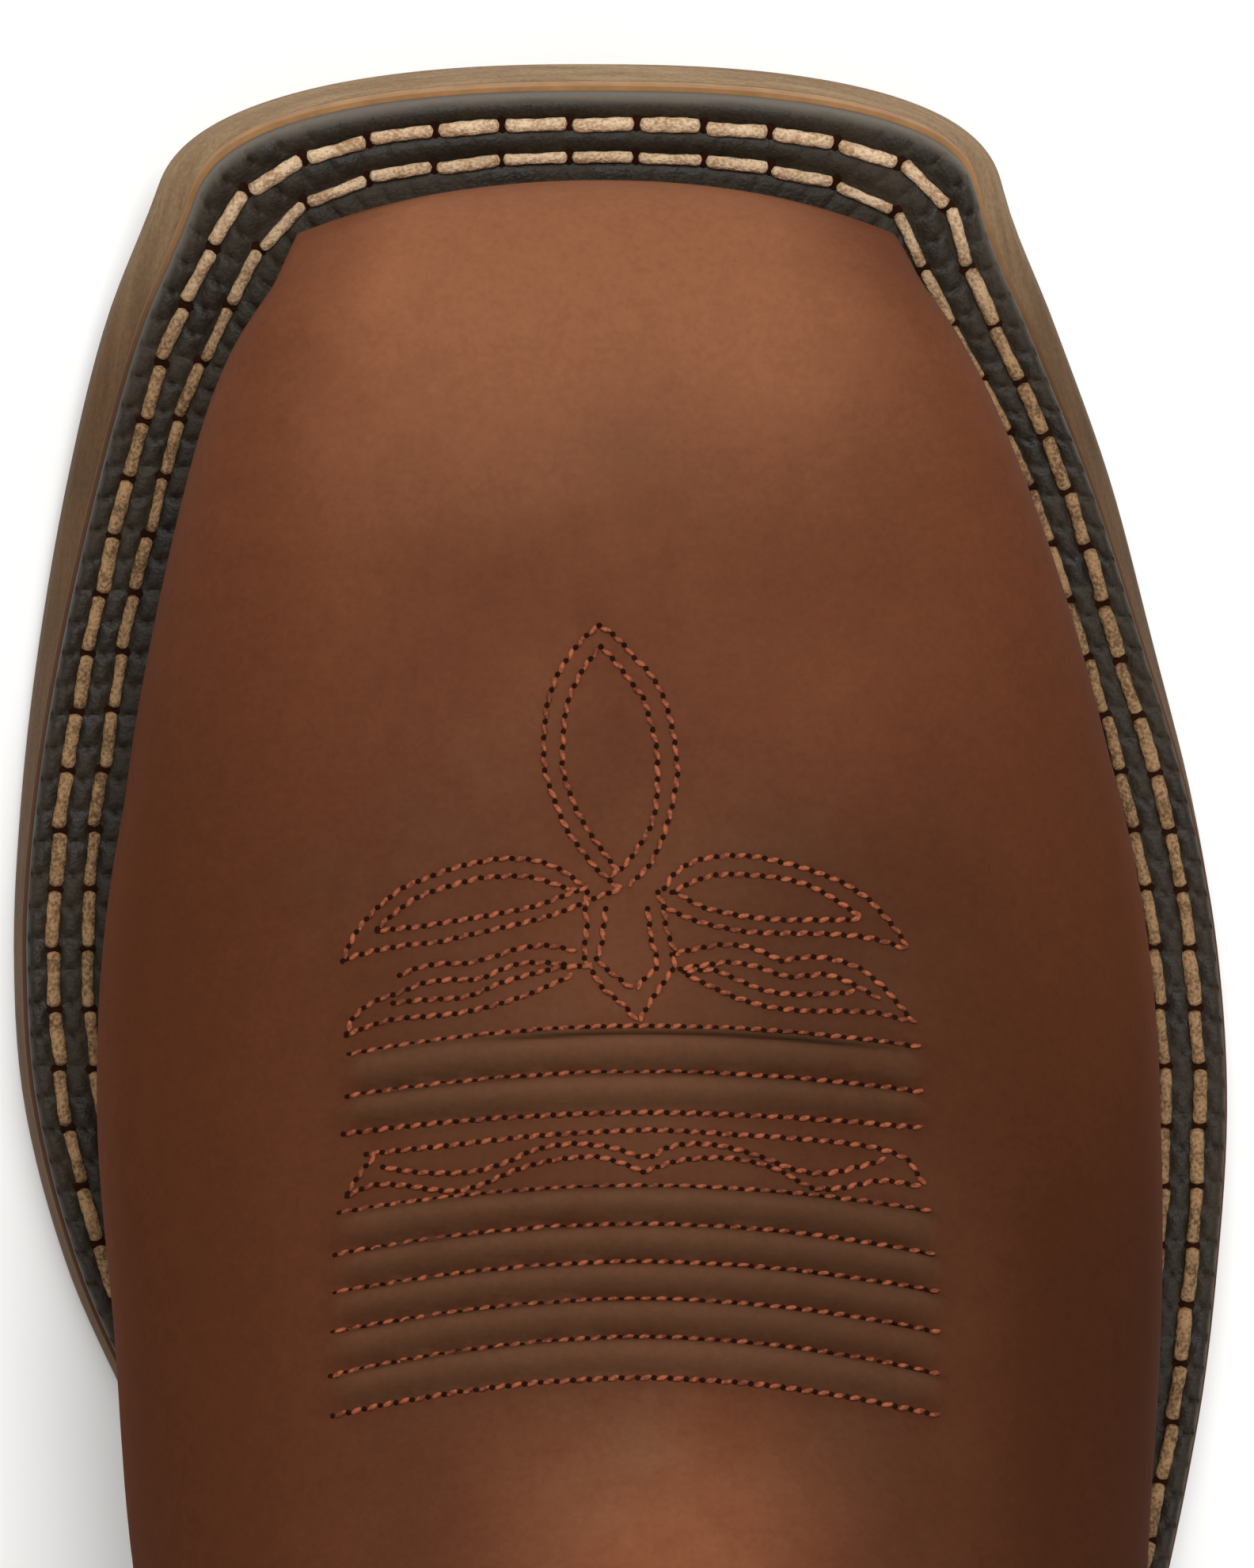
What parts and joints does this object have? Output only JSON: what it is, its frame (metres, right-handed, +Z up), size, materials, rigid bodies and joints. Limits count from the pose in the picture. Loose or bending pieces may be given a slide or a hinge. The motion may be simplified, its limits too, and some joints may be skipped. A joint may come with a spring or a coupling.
{
  "type": "western work boot",
  "caption": "Western work boot for the right foot with a broad square toe, a ribbed welt with two stitch rows, a stitched toe medallion, a pull-on shaft and a stacked heel.",
  "frame": {"origin": "middle of the boot's bounding box, on the floor", "axes": "-Y to the toe, +X to the medial side (the wearer's left), +Z up the shaft"},
  "size_m": [0.1188, 0.3047, 0.3369],
  "materials": {
    "outsole": "matte",
    "midsole": "matte",
    "welt": "satin",
    "heel": "satin",
    "heel_lift": "matte",
    "insole": "matte",
    "upper": "satin",
    "counter": "satin",
    "straps": "satin"
  },
  "bodies": {
    "root": {"outsole": "outsole", "midsole": "midsole", "welt": "welt", "heel": "heel", "heel_lift": "heel_lift", "insole": "insole", "upper": "upper", "heel_counter": "counter", "pull_strap_medial": "straps", "pull_strap_lateral": "straps"}
  },
  "joints": []
}
